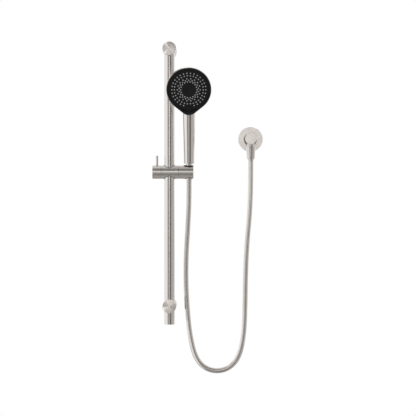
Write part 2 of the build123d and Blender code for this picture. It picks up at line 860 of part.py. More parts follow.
with BuildPart() as centre_cap:
    with BuildSketch(dome_profile):
        with BuildLine():
            Polyline((0, -plate_front - 0.5), (0, -cap_back), (cap_r, -cap_back), (cap_r, -plate_front))
            TangentArc((0, -plate_front - 0.5), (cap_r, -plate_front), tangent=(1, 0))
        make_face()
    revolve(axis=face_axis)
save(centre_cap, "centre_cap")

centre_screw = turned(
    face_frame,
    [
        (0, -cap_back - fit),
        (axle_head_r, -cap_back - fit),
        (axle_head_r, -axle_head_back),
        (axle_r, -axle_head_back),
        (axle_r, -axle_end),
        (0, -axle_end),
    ],
)
save(centre_screw, "centre_screw")

detent_angle = 30.0
detent_circle = 34.0
detent_x = detent_circle * math.cos(math.radians(detent_angle))
detent_y = detent_circle * math.sin(math.radians(detent_angle))
ball_r = 2.0
port_r = 25.0
port_angles = (30.0, 150.0, 270.0)
port_paths = [CenterArc((0, 0), port_r, angle - 25, 50) for angle in port_angles]
with BuildPart() as diverter_disc:
    with BuildSketch(face_frame.offset(-diverter_back)):
        Circle(mat_r)
        Circle(axle_r + slip, mode=Mode.SUBTRACT)
        for port_path in port_paths:
            SlotArc(port_path, 7, mode=Mode.SUBTRACT)
    extrude(amount=diverter_t)
    with BuildSketch(face_frame.offset(-diverter_back)):
        with PolarLocations(detent_circle, 3, detent_angle - tab_swing, 2 * tab_swing, endpoint=True):
            Circle(ball_r / 2)
    extrude(amount=0.5, mode=Mode.SUBTRACT)
save(diverter_disc, "diverter_disc")

face_seal = tube(face_frame, -seat_front + fit, -diverter_back - fit, port_r + 6.5, port_r + 4.2)
save(face_seal, "face_seal")

# ---- Water way through the handset --------------------------------------------------------------------
tube_r = 7.0
tube_bore_r = 5.5
tube_low = 30.0
tube_high = 162.0
socket_depth = 6.0
socket_wall = 1.2
elbow_rise = 8.0  # the water way turns forward above the tube
port_y = -32.0
block_w = 14.0
block_h = 16.0
block_t = 12.0
spring_wire_r = 0.25
detent_floor = seat_back + 3.4
hub_r = 6.0
hub_floor = 1.2
with BuildPart() as seat_plate:
    with BuildSketch(face_frame.offset(-seat_back)):
        Circle(mat_r + 1)
    extrude(amount=seat_t)
    with BuildSketch(face_frame.offset(-axle_end - hub_floor)):
        Circle(hub_r)
    extrude(amount=axle_end + hub_floor - seat_back)
    with BuildSketch(face_frame.offset(-detent_floor - hub_floor)):
        with Locations((detent_x, detent_y)):
            Circle(ball_r + hub_floor)
    extrude(amount=detent_floor + hub_floor - seat_back)
    with BuildSketch(face_frame.offset(-seat_back)):
        with Locations((0, port_y)):
            Rectangle(block_w, block_h)
    extrude(amount=-block_t)
    with BuildSketch(hand_frame.offset(tube_high - socket_depth)):
        Circle(tube_r + slip + socket_wall)
    extrude(amount=socket_depth + elbow_rise + socket_wall)
    with BuildSketch(face_frame.offset(-axle_end - fit)):
        Circle(axle_r + fit)
    extrude(amount=axle_end, mode=Mode.SUBTRACT)
    with BuildSketch(face_frame.offset(-detent_floor)):
        with Locations((detent_x, detent_y)):
            Circle(ball_r + slip)
    extrude(amount=axle_end, mode=Mode.SUBTRACT)
    with BuildSketch(face_frame.offset(-seat_back - block_t)):
        with Locations((0, port_y)):
            Circle(tube_bore_r - 1)
    extrude(amount=axle_end, mode=Mode.SUBTRACT)
    with BuildSketch(hand_frame.offset(tube_low)):
        Circle(tube_r + slip)
    extrude(amount=tube_high - tube_low + slip, mode=Mode.SUBTRACT)
    with BuildSketch(hand_frame.offset(tube_high)):
        Circle(tube_bore_r - 1)
    extrude(amount=elbow_rise, mode=Mode.SUBTRACT)
    with BuildSketch(face_frame.offset(-seat_back)):
        with PolarLocations(boss_circle, 3, start_angle=90):
            Circle(seat_screw_r + slip)
    extrude(amount=seat_t, mode=Mode.SUBTRACT)
    with BuildSketch(face_frame.offset(-seat_front - 1.6)):
        with PolarLocations(boss_circle, 3, start_angle=90):
            Circle(2.7)
    extrude(amount=seat_t, mode=Mode.SUBTRACT)
save(seat_plate, "seat_plate")

with BuildPart() as seat_screws:
    with BuildSketch(face_frame.offset(-seat_front - 1.6)):
        with PolarLocations(boss_circle, 3, start_angle=90):
            Circle(2.6)
    extrude(amount=1.5)
    with BuildSketch(face_frame.offset(-seat_front - 1.6)):
        with PolarLocations(boss_circle, 3, start_angle=90):
            Circle(seat_screw_r - fit)
    extrude(amount=-seat_screw_l)
save(seat_screws, "seat_screws")

ball_centre = -diverter_back - 0.02 - ball_r
with BuildPart(face_frame) as detent_ball:
    with Locations((detent_x, detent_y, ball_centre)):
        Sphere(ball_r)
save(detent_ball, "detent_ball")

detent_frame = Plane(
    face_frame.from_local_coords((detent_x, detent_y, 0)), x_dir=(1, 0, 0), z_dir=face_frame.z_dir
)
detent_spring = coil(detent_frame, -detent_floor + fit, ball_centre - ball_r, 1.5, spring_wire_r, 3)
save(detent_spring, "detent_spring")

water_tube = tube(hand_frame, tube_low, tube_high, tube_r, tube_bore_r)
save(water_tube, "water_tube")

plug_len = 14.0
limiter_t = 3.0
inlet_plug_r = handle_bottom_d / 2 - shell_wall - fit
socket_low = tube_low - 1
inlet_end = nut_top - thread_l
handset_inlet = turned(
    hand_frame,
    [
        (water_r, inlet_end),
        (thread_r, inlet_end),
        (thread_r, nut_top - joint_gap),
        (inlet_neck_d / 2, nut_top - joint_gap),
        (inlet_neck_d / 2, handle_bottom + loose),
        (inlet_plug_r, handle_bottom + loose),
        (inlet_plug_r, handle_bottom + plug_len),
        (tube_r + slip, handle_bottom + plug_len),
        (tube_r + slip, socket_low - limiter_t),
        (water_r, socket_low - limiter_t),
    ],
)
save(handset_inlet, "handset_inlet")
flow_limiter = tube(hand_frame, socket_low - limiter_t, socket_low - fit, tube_r, 2.2)
save(flow_limiter, "flow_limiter")
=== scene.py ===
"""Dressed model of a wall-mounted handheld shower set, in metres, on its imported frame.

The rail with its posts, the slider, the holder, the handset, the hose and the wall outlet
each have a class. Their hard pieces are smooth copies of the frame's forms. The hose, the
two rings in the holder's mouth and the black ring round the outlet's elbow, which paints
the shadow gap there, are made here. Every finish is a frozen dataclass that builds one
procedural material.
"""

import json
import logging
import math
from dataclasses import dataclass, field
from enum import Enum

import bmesh
import bpy
from mathutils import Matrix, Vector
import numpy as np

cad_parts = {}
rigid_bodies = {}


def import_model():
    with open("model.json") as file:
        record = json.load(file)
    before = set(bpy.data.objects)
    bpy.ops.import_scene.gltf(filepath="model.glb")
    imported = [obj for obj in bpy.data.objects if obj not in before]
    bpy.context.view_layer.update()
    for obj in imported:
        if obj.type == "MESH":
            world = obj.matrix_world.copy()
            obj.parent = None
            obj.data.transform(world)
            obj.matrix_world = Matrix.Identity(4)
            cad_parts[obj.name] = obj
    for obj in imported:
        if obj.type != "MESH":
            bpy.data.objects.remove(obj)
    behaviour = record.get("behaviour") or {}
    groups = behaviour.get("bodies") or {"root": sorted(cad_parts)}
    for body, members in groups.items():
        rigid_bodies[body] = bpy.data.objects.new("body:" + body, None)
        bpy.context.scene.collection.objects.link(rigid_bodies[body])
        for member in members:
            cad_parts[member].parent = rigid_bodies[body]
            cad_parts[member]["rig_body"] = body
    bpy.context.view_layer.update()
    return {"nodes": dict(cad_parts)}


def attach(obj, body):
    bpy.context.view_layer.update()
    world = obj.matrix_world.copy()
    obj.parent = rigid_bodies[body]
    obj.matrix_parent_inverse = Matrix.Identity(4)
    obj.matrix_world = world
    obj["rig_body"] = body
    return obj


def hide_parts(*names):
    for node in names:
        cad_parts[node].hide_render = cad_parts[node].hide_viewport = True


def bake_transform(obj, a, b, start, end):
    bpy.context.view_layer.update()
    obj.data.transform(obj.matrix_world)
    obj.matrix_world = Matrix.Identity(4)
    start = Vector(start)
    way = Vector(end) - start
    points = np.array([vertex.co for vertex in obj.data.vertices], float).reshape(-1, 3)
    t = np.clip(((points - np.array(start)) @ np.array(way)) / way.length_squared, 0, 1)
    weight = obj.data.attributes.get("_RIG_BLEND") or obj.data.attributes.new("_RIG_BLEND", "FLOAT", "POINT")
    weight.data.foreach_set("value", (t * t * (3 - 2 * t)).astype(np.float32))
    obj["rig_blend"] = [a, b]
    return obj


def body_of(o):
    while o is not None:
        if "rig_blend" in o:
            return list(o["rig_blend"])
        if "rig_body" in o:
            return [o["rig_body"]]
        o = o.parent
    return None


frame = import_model()
LOG = logging.getLogger("shower_set")
NODES: dict[str, bpy.types.Object] = frame["nodes"]
MM = 0.001
Tint = tuple[float, float, float]
Place = tuple[float, float, float]

# Places that the rest follows, from the middle of the upper post at the wall.
STANDOFF, POST_SPACING = 57 * MM, 600 * MM
SLIDER_HEIGHT, HOLDER_SIDE = -287 * MM, 46 * MM
LEAN, HEAD_HEIGHT, FACE_OUT = math.radians(5.0), 191.5 * MM, 31 * MM
CANT = math.radians(19.0)
OUTLET_SIDE, OUTLET_HEIGHT, SPIGOT_OUT = 191 * MM, -208 * MM, 34 * MM


# ---- Shader graphs ----
class Brush(Enum):
    """The way that the fine lines of a brushed surface run, as the stretch of their noise."""

    ROUND_X = (900.0, 14.0, 14.0)
    ROUND_Y = (14.0, 900.0, 14.0)
    ROUND_Z = (14.0, 14.0, 900.0)
    NONE = (40.0, 40.0, 40.0)


@dataclass
class Graph:
    """A node tree under construction, with short calls to add and join its nodes."""

    tree: bpy.types.NodeTree

    def add(self, kind: str, **values: object) -> bpy.types.Node:
        """Adds a node.

        Args:
            kind: The node's type name without its ShaderNode prefix.
            values: Properties by name, or sockets by name with underscores for spaces.

        Returns:
            The new node.
        """
        prefix = "" if kind.startswith("Node") else "ShaderNode"
        node = self.tree.nodes.new(prefix + kind)
        for name, value in values.items():
            if hasattr(node, name):
                setattr(node, name, value)
            else:
                self.feed(node, **{name: value})
        return node

    def put(self, node: bpy.types.Node, socket: str | int, value: object) -> None:
        """Sets or links an input socket.

        Args:
            node: The node that owns the socket.
            socket: The socket's name or number.
            value: A constant, or the output socket that feeds it.
        """
        target = node.inputs[socket]
        if isinstance(value, bpy.types.NodeSocket):
            self.tree.links.new(value, target)
        else:
            target.default_value = value

    def feed(self, node: bpy.types.Node, **values: object) -> None:
        """Sets or links several input sockets.

        Args:
            node: The node that owns the sockets.
            values: Constants or output sockets by name, with underscores for spaces.
        """
        for name, value in values.items():
            self.put(node, name.replace("_", " "), value)

    def math(self, operation: str, *values: object) -> bpy.types.NodeSocket:
        """Adds a math node.

        Args:
            operation: The node's operation.
            values: Its inputs in order.

        Returns:
            Its output socket.
        """
        node = self.add("Math", operation=operation)
        for number, value in enumerate(values):
            self.put(node, number, value)
        return node.outputs[0]

    def remap(
        self, value: object, low: float, high: float, to_low: float = 0.0, to_high: float = 1.0,
    ) -> bpy.types.NodeSocket:
        """Maps a value from one range to another, clamped.

        Args:
            value: The value's output socket.
            low: The value that becomes to_low.
            high: The value that becomes to_high.
            to_low: The new range's start.
            to_high: Its end.

        Returns:
            The output socket.
        """
        node = self.add("MapRange")
        for number, given in enumerate((value, low, high, to_low, to_high)):
            self.put(node, number, given)
        return node.outputs[0]


def new_group(name: str, inputs: dict[str, str], outputs: dict[str, str]) -> bpy.types.NodeTree:
    """Makes an empty shader node group with named sockets.

    Args:
        name: The group's name.
        inputs: Socket kinds by name, each Float, Vector or Color.
        outputs: Socket kinds by name.

    Returns:
        The node tree.
    """
    tree = bpy.data.node_groups.new(name, "ShaderNodeTree")
    for way, sockets in (("INPUT", inputs), ("OUTPUT", outputs)):
        for socket, kind in sockets.items():
            tree.interface.new_socket(socket, in_out=way, socket_type=f"NodeSocket{kind}")
    return tree


# The ranges of noise, distance or pointiness that the masks are cut from.
DEEP_LINES, LINE_TONES = (0.52, 0.68), (0.3, 0.7)
SMEARS, DROP_RINGS, DAMP_PATCHES = (0.52, 0.74), (0.36, 0.42), (0.5, 0.62)
SHARP_EDGES, RUB_BREAKS, LEAST_RUB = (0.5, 0.56), (0.4, 0.6), 0.2
LINE_OFFSET = (0.31, 0.17, 0.43)
QUARTER_TURN = 0.25


def line_group() -> bpy.types.NodeTree:
    """Builds the fine drawn lines of a brushed surface.

    Returns:
        A group from a point and stretch to a height, a mask of the deeper lines and a tone.
    """
    results = {"Height": "Float", "Mask": "Float", "Tone": "Float"}
    tree = new_group("Drawn Lines", {"Point": "Vector", "Stretch": "Vector"}, results)
    graph = Graph(tree)
    given, result = graph.add("NodeGroupInput"), graph.add("NodeGroupOutput")
    placed = graph.add("Mapping", Location=LINE_OFFSET)
    graph.feed(placed, Vector=given.outputs["Point"], Scale=given.outputs["Stretch"])
    fine = graph.add("TexNoise", Scale=2.6, Detail=3.0, Roughness=0.62)
    broad = graph.add("TexNoise", Scale=0.55, Detail=2.0, Roughness=0.5)
    for noise in (fine, broad):
        graph.put(noise, "Vector", placed.outputs[0])
    graph.put(result, "Height", fine.outputs["Fac"])
    graph.put(result, "Mask", graph.remap(fine.outputs["Fac"], *DEEP_LINES))
    graph.put(result, "Tone", graph.remap(broad.outputs["Fac"], *LINE_TONES))
    return tree


def handling_group() -> bpy.types.NodeTree:
    """Builds the marks of use on a wet-room fitting.

    Returns:
        A group from a point and a size to a mask of smears, one of dried drops and a film.
    """
    results = {"Smear": "Float", "Drops": "Float", "Film": "Float"}
    tree = new_group("Handling Marks", {"Point": "Vector", "Size": "Float"}, results)
    graph = Graph(tree)
    given, result = graph.add("NodeGroupInput"), graph.add("NodeGroupOutput")
    placed = graph.add("VectorMath", operation="SCALE")
    graph.put(placed, 0, given.outputs["Point"])
    graph.put(placed, "Scale", given.outputs["Size"])
    smear = graph.add("TexNoise", Scale=26.0, Detail=3.0, Distortion=1.4)
    film = graph.add("TexNoise", Scale=9.0, Detail=2.0)
    drops = graph.add("TexVoronoi", Scale=170.0, feature="DISTANCE_TO_EDGE")
    for texture in (smear, film, drops):
        graph.put(texture, "Vector", placed.outputs[0])
    ring = graph.remap(drops.outputs["Distance"], *DROP_RINGS)
    damp = graph.remap(film.outputs["Fac"], *DAMP_PATCHES)
    graph.put(result, "Smear", graph.remap(smear.outputs["Fac"], *SMEARS))
    graph.put(result, "Drops", graph.math("MULTIPLY", ring, damp))
    graph.put(result, "Film", film.outputs["Fac"])
    return tree


def edge_group() -> bpy.types.NodeTree:
    """Builds a light rub along convex edges.

    Returns:
        A group from a point and a width to a mask of worn edges.
    """
    tree = new_group("Edge Rub", {"Point": "Vector", "Width": "Float"}, {"Mask": "Float"})
    graph = Graph(tree)
    given, result = graph.add("NodeGroupInput"), graph.add("NodeGroupOutput")
    surface = graph.add("NewGeometry")
    noise = graph.add("TexNoise", Scale=60.0, Detail=2.0)
    graph.put(noise, "Vector", given.outputs["Point"])
    rim = graph.remap(surface.outputs["Pointiness"], *SHARP_EDGES)
    wide = graph.math("MULTIPLY", rim, given.outputs["Width"])
    broken = graph.remap(noise.outputs["Fac"], *RUB_BREAKS, LEAST_RUB)
    graph.put(result, "Mask", graph.math("MULTIPLY", wide, broken))
    return tree


LINES = line_group()
HANDLING = handling_group()
EDGES = edge_group()


def use_group(graph: Graph, tree: bpy.types.NodeTree, **values: object) -> bpy.types.Node:
    """Places a shared group in a material's graph.

    Args:
        graph: The material's graph.
        tree: The group.
        values: Input values or links by socket name.

    Returns:
        The group node.
    """
    node = graph.add("Group", node_tree=tree)
    graph.feed(node, **values)
    return node


def new_material(name: str) -> tuple[bpy.types.Material, Graph, bpy.types.Node]:
    """Makes a material with only its output and Principled shader.

    Args:
        name: The material's name.

    Returns:
        The material, its graph and the shader node.
    """
    material = bpy.data.materials.new(name)
    material.use_nodes = True
    material.node_tree.nodes.clear()
    graph = Graph(material.node_tree)
    out, shader = graph.add("OutputMaterial"), graph.add("BsdfPrincipled")
    graph.put(out, "Surface", shader.outputs[0])
    return material, graph, shader


def mixed(graph: Graph, mask: object, first: Tint, second: Tint) -> bpy.types.NodeSocket:
    """Mixes two colours.

    Args:
        graph: The material's graph.
        mask: The mask's output socket.
        first: The colour where the mask is 0.
        second: The colour where it is 1.

    Returns:
        The colour socket.
    """
    node = graph.add("Mix", data_type="RGBA")
    for socket, value in ((0, mask), (6, (*first, 1.0)), (7, (*second, 1.0))):
        graph.put(node, socket, value)
    return node.outputs[2]


def drawn_round(graph: Graph, shader: bpy.types.Node, axis: str) -> None:
    """Turns a metal's stretched highlights to lie across lines that run round an axis.

    Args:
        graph: The material's graph.
        shader: Its shader.
        axis: The letter of the axis.
    """
    tangent = graph.add("Tangent", direction_type="RADIAL", axis=axis)
    graph.feed(shader, Anisotropic_Rotation=QUARTER_TURN, Tangent=tangent.outputs[0])


# ---- Finishes ----
@dataclass(frozen=True)
class MetalFinish:
    """A bare or plated metal with drawn lines and marks of use.

    The lines stand out by depth and roughen it by spread, smears and dried drops roughen it
    by smears and a share of that, and rubbed edges are smoother.
    """

    name: str
    tint: Tint
    shade: Tint
    roughness: float
    brush: Brush = Brush.ROUND_Z
    depth: float = 0.0015
    anisotropy: float = 0.85
    spread: float = 0.015
    smears: float = 0.03
    drops: float = 0.8
    line_tone: float = 0.55
    film_tone: float = 0.3
    rub_width: float = 0.6
    rub_polish: float = 0.05
    line_height: float = 0.1 * MM

    def build(self) -> bpy.types.Material:
        """Builds the material.

        Returns:
            The material.
        """
        material, graph, shader = new_material(self.name)
        point = graph.add("TexCoord").outputs["Object"]
        lines = use_group(graph, LINES, Point=point, Stretch=self.brush.value)
        marks = use_group(graph, HANDLING, Point=point, Size=1.0)
        rub = use_group(graph, EDGES, Point=point, Width=self.rub_width)
        film = graph.math("MULTIPLY", marks.outputs["Film"], self.film_tone)
        tone = graph.math("ADD", graph.math("MULTIPLY", lines.outputs["Tone"], self.line_tone), film)
        rough = graph.math("MULTIPLY_ADD", lines.outputs["Mask"], self.spread, self.roughness)
        rough = graph.math("MULTIPLY_ADD", marks.outputs["Smear"], self.smears, rough)
        rough = graph.math("MULTIPLY_ADD", marks.outputs["Drops"], self.smears * self.drops, rough)
        polish = graph.math("MULTIPLY", rub.outputs["Mask"], self.rub_polish)
        graph.feed(
            shader, Base_Color=mixed(graph, tone, self.shade, self.tint),
            Roughness=graph.math("SUBTRACT", rough, polish), Metallic=1.0, Anisotropic=self.anisotropy,
        )
        if self.brush is not Brush.NONE:
            drawn_round(graph, shader, self.brush.name[-1])
        if self.depth:
            bump = graph.add("Bump", Strength=self.depth, Distance=self.line_height)
            graph.put(bump, "Height", lines.outputs["Height"])
            graph.put(shader, "Normal", bump.outputs[0])
        return material


@dataclass(frozen=True)
class SpunFinish:
    """A disc face turned on a lathe, with fine rings round its own centre and a slight dome."""

    name: str
    tint: Tint
    shade: Tint
    roughness: float
    centre: Place
    pitch: float = 0.35 * MM
    anisotropy: float = 0.8
    dome: float = 3.0
    uneven: float = 0.02
    smears: float = 0.04
    ring_share: float = 0.25
    ring_depth: float = 0.004
    ring_height: float = 0.2 * MM

    def build(self) -> bpy.types.Material:
        """Builds the material.

        Returns:
            The material.
        """
        material, graph, shader = new_material(self.name)
        point = graph.add("TexCoord").outputs["Object"]
        placed = graph.add("Mapping", Location=tuple(-c for c in self.centre))
        graph.put(placed, "Vector", point)
        split = graph.add("SeparateXYZ")
        graph.put(split, 0, placed.outputs[0])
        squares = [graph.math("MULTIPLY", split.outputs[way], split.outputs[way]) for way in "XZ"]
        radius = graph.math("SQRT", graph.math("ADD", *squares))
        turns = graph.math("DIVIDE", radius, self.pitch)
        ring = graph.math("SINE", graph.math("MULTIPLY", turns, math.tau))
        noise = graph.add("TexNoise", noise_dimensions="1D", Scale=1.7, Detail=3.0)
        graph.put(noise, "W", turns)
        marks = use_group(graph, HANDLING, Point=point, Size=1.0)
        rough = graph.math("MULTIPLY_ADD", noise.outputs["Fac"], self.uneven, self.roughness)
        rough = graph.math("MULTIPLY_ADD", marks.outputs["Smear"], self.smears, rough)
        graph.feed(
            shader, Base_Color=mixed(graph, noise.outputs["Fac"], self.shade, self.tint),
            Roughness=rough, Metallic=1.0, Anisotropic=self.anisotropy,
        )
        drawn_round(graph, shader, "Y")
        swell = graph.add("Bump", Strength=1.0, Distance=1.0)
        squared = graph.math("MULTIPLY", radius, radius)
        graph.put(swell, "Height", graph.math("MULTIPLY", squared, -self.dome))
        bump = graph.add("Bump", Strength=self.ring_depth, Distance=self.ring_height)
        height = graph.math("MULTIPLY_ADD", ring, self.ring_share, noise.outputs["Fac"])
        graph.feed(bump, Height=height, Normal=swell.outputs[0])
        graph.put(shader, "Normal", bump.outputs[0])
        return material


@dataclass(frozen=True)
class MouldedFinish:
    """A moulded plastic or rubber with a fine grain, flow tone and marks of use."""

    name: str
    tint: Tint
    shade: Tint
    roughness: float
    grain: float = 0.06
    grain_size: float = 900.0
    specular: float = 0.5
    film_tone: float = 0.7
    rub_tone: float = 0.5
    rub_width: float = 0.5
    smears: float = 0.07
    uneven: float = 0.05
    grain_height: float = 0.2 * MM

    def build(self) -> bpy.types.Material:
        """Builds the material.

        Returns:
            The material.
        """
        material, graph, shader = new_material(self.name)
        point = graph.add("TexCoord").outputs["Object"]
        marks = use_group(graph, HANDLING, Point=point, Size=1.0)
        rub = use_group(graph, EDGES, Point=point, Width=self.rub_width)
        grain = graph.add("TexNoise", Scale=self.grain_size, Detail=2.0)
        graph.put(grain, "Vector", point)
        film = graph.math("MULTIPLY", marks.outputs["Film"], self.film_tone)
        tone = graph.math("ADD", film, graph.math("MULTIPLY", rub.outputs["Mask"], self.rub_tone))
        rough = graph.math("MULTIPLY_ADD", marks.outputs["Smear"], self.smears, self.roughness)
        rough = graph.math("MULTIPLY_ADD", grain.outputs["Fac"], self.uneven, rough)
        graph.feed(
            shader, Base_Color=mixed(graph, tone, self.shade, self.tint), Roughness=rough,
            Specular_IOR_Level=self.specular,
        )
        bump = graph.add("Bump", Strength=self.grain, Distance=self.grain_height)
        graph.put(bump, "Height", grain.outputs["Fac"])
        graph.put(shader, "Normal", bump.outputs[0])
        return material


@dataclass(frozen=True)
class HoseFinish:
    """A smooth silver hose: a clear skin over a fine wound foil, on the hose's own map."""

    name: str
    tint: Tint
    shade: Tint
    roughness: float
    metallic: float = 0.9
    turns: float = 420.0
    foil_tone: float = 0.12
    smears: float = 0.06
    uneven: float = 0.05
    glint: float = 0.06
    skin: float = 0.6
    skin_roughness: float = 0.08
    foil_share: float = 0.5
    foil_depth: float = 0.03
    foil_height: float = 0.3 * MM

    def build(self) -> bpy.types.Material:
        """Builds the material.

        Returns:
            The material.
        """
        material, graph, shader = new_material(self.name)
        place = graph.add("TexCoord")
        run = graph.add("Mapping", Scale=(1.0, self.turns, 1.0))
        graph.put(run, "Vector", place.outputs["UV"])
        split = graph.add("SeparateXYZ")
        graph.put(split, 0, run.outputs[0])
        helix = graph.math("ADD", split.outputs["X"], split.outputs["Y"])
        wound = graph.math("SINE", graph.math("MULTIPLY", helix, math.tau))
        marks = use_group(graph, HANDLING, Point=place.outputs["Object"], Size=1.0)
        fine = graph.add("TexNoise", Scale=1400.0, Detail=2.0)
        graph.put(fine, "Vector", place.outputs["Object"])
        tone = graph.math("MULTIPLY_ADD", wound, self.foil_tone, marks.outputs["Film"])
        rough = graph.math("MULTIPLY_ADD", marks.outputs["Smear"], self.smears, self.roughness)
        rough = graph.math("MULTIPLY_ADD", fine.outputs["Fac"], self.uneven, rough)
        metal = graph.math("MULTIPLY_ADD", fine.outputs["Fac"], self.glint, self.metallic)
        graph.feed(
            shader, Base_Color=mixed(graph, tone, self.shade, self.tint), Roughness=rough,
            Metallic=metal, Coat_Weight=self.skin, Coat_Roughness=self.skin_roughness,
        )
        bump = graph.add("Bump", Strength=self.foil_depth, Distance=self.foil_height)
        graph.put(bump, "Height", graph.math("MULTIPLY_ADD", wound, self.foil_share, fine.outputs["Fac"]))
        graph.put(shader, "Normal", bump.outputs[0])
        return material


NICKEL, NICKEL_SHADE = (0.785, 0.76, 0.738), (0.772, 0.747, 0.725)
FINISHES = {
    "rail": MetalFinish("Brushed nickel, round the rail", NICKEL, NICKEL_SHADE, 0.21, Brush.ROUND_Z),
    "slider": MetalFinish("Brushed nickel, round the slider", NICKEL, NICKEL_SHADE, 0.21, Brush.ROUND_X),
    "post": MetalFinish("Brushed nickel, round the posts", NICKEL, NICKEL_SHADE, 0.36, Brush.ROUND_Y),
    "satin": MetalFinish(
        "Satin nickel, plain", (0.755, 0.738, 0.722), (0.742, 0.725, 0.709), 0.24, Brush.NONE,
        depth=0.02, anisotropy=0.0, spread=0.04,
    ),
    # The two discs are one spun finish in two tints: the lower disc's tint is painted much lighter than the
    # upper's, to stand in for the light that each gets.
    "upper_disc": SpunFinish(
        "Spun nickel, upper disc", (0.745, 0.72, 0.7), (0.735, 0.71, 0.69), 0.22,
        centre=(0.0, 0.0, 0.0), anisotropy=0.9,
    ),
    "lower_disc": SpunFinish(
        "Spun nickel, lower disc", (0.88, 0.85, 0.825), (0.87, 0.84, 0.815), 0.24,
        centre=(0.0, 0.0, -POST_SPACING), dome=2.0,
    ),
    "shell": MetalFinish(
        "Polished nickel shell", (0.8, 0.782, 0.765), (0.78, 0.762, 0.745), 0.06, Brush.NONE,
        depth=0.0, anisotropy=0.0, spread=0.02, smears=0.05,
    ),
    "nut": MetalFinish("Brushed nickel nuts", NICKEL, NICKEL_SHADE, 0.3, Brush.ROUND_Z),
    "steel": MetalFinish(
        "Stainless steel", (0.62, 0.62, 0.62), (0.52, 0.52, 0.52), 0.28, Brush.NONE, depth=0.02,
    ),
    "neck": MetalFinish(
        "Plated inlet neck", (0.86, 0.85, 0.84), (0.84, 0.83, 0.82), 0.08, Brush.NONE,
        depth=0.0, anisotropy=0.0, spread=0.02, smears=0.05,
    ),
    "brass": MetalFinish(
        "Turned brass", (0.78, 0.6, 0.3), (0.66, 0.5, 0.24), 0.24, Brush.ROUND_Z, depth=0.04,
    ),
    # Black rubber of the real seals, also used for the black ring that paints the outlet's shadow gap.
    "seal": MouldedFinish("Black sealing rubber", (0.035, 0.035, 0.035), (0.02, 0.02, 0.02), 0.6, 0.1),
    "nylon": MouldedFinish("Grey nylon", (0.2, 0.2, 0.205), (0.13, 0.13, 0.135), 0.45),
    "liner": MouldedFinish("Black acetal", (0.022, 0.022, 0.022), (0.014, 0.014, 0.014), 0.4),
    "face": MouldedFinish(
        "Satin black face", (0.01, 0.01, 0.0102), (0.007, 0.007, 0.0072), 0.34,
        grain=0.02, grain_size=1200.0, specular=0.22,
    ),
    "silicone": MouldedFinish("Grey silicone", (0.34, 0.34, 0.34), (0.26, 0.26, 0.26), 0.6, 0.12),
    "acetal": MouldedFinish("White acetal", (0.8, 0.8, 0.77), (0.7, 0.7, 0.67), 0.42),
    "hose": HoseFinish("Silver hose", (0.84, 0.81, 0.785), (0.72, 0.69, 0.665), 0.12),
}
MATERIALS = {key: finish.build() for key, finish in FINISHES.items()}

FINISHED_NODES = {
    "rail": "rail rail_end_cap",
    "post": "upper_post lower_post",
    "upper_disc": "upper_front_disc",
    "lower_disc": "lower_front_disc",
    "seal": (
        "upper_disc_o_ring lower_disc_o_ring handset_hose_washer outlet_hose_washer "
        "face_seal"
    ),
    "steel": (
        "upper_wall_plate lower_wall_plate rail_lock_screws post_grub_screws clamp_screw "
        "tilt_spindle tilt_spring_washer check_valve_spring centre_screw seat_screws "
        "detent_ball detent_spring"
    ),
    "nylon": "upper_rail_bush lower_rail_bush brake_pad tilt_friction_washer",
    "slider": "slider_body clamp_knob holder",
    "nut": "clamp_pin handset_hose_nut handset_ferrule outlet_hose_nut outlet_ferrule",
    "liner": "holder_liner",
    "brass": "handset_hose_nipple outlet_hose_nipple",
    "hose": "hose",
    "satin": "outlet_rose outlet_elbow",
    "acetal": (
        "check_valve_body check_valve_poppet diverter_disc seat_plate water_tube "
        "flow_limiter"
    ),
    "shell": "handset_shell",
    "face": "face_surround spray_plate selector_tab centre_cap",
    "silicone": "nozzle_mat",
    "neck": "handset_inlet",
}
NODE_FINISH = {node: finish for finish, nodes in FINISHED_NODES.items() for node in nodes.split()}


# ---- Mesh helpers ----
# A face is turned about an axis if its slope is under the first of these, and if it and its
# corners point away from the axis at least as truly as the other two.
FLAT_SLOPE, ROUND_FACE, ROUND_CORNER = 0.995, 0.985, 0.97
TINY = 1e-6
# The angles in degrees past which an edge stays sharp.
COPY_ANGLE, RING_ANGLE, HOSE_ANGLE = 30.0, 40.0, 60.0


def linked(name: str, data: bpy.types.ID) -> bpy.types.Object:
    """Makes an object and links it to the scene.

    Args:
        name: The object's name.
        data: The mesh, lamp or camera that it holds.

    Returns:
        The new object.
    """
    item = bpy.data.objects.new(name, data)
    bpy.context.scene.collection.objects.link(item)
    return item


def mesh_of(shape: bmesh.types.BMesh, name: str) -> bpy.types.Mesh:
    """Makes a mesh of a finished bmesh and frees the bmesh.

    Args:
        shape: The bmesh.
        name: The mesh's name.

    Returns:
        The mesh.
    """
    mesh = bpy.data.meshes.new(name)
    shape.to_mesh(mesh)
    shape.free()
    return mesh


def finished(mesh: bpy.types.Mesh, finish: str, body: str, angle: float) -> bpy.types.Object:
    """Puts a mesh in the scene as a piece of the same name.

    Args:
        mesh: The mesh, already in place.
        finish: The key of its finish.
        body: The body that it moves with, or nothing where it bends between two.
        angle: The angle in degrees past which an edge stays sharp.

    Returns:
        The new object.
    """
    for polygon in mesh.polygons:
        polygon.use_smooth = True
    mesh.set_sharp_from_angle(angle=math.radians(angle))
    piece = linked(mesh.name, mesh)
    mesh.materials.clear()
    mesh.materials.append(MATERIALS[finish])
    if body:
        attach(piece, body)
    LOG.info("%s: %d faces on %s", piece.name, len(mesh.polygons), body or "two bodies")
    return piece


@dataclass(frozen=True)
class Axis:
    """A line that round pieces are turned about, from a place on it and its way."""

    place: Vector
    way: Vector

    def arm(self, point: Vector) -> Vector:
        """Returns the vector to a point from the nearest place on the line."""
        offset = point - self.place
        return offset - self.way * offset.dot(self.way)


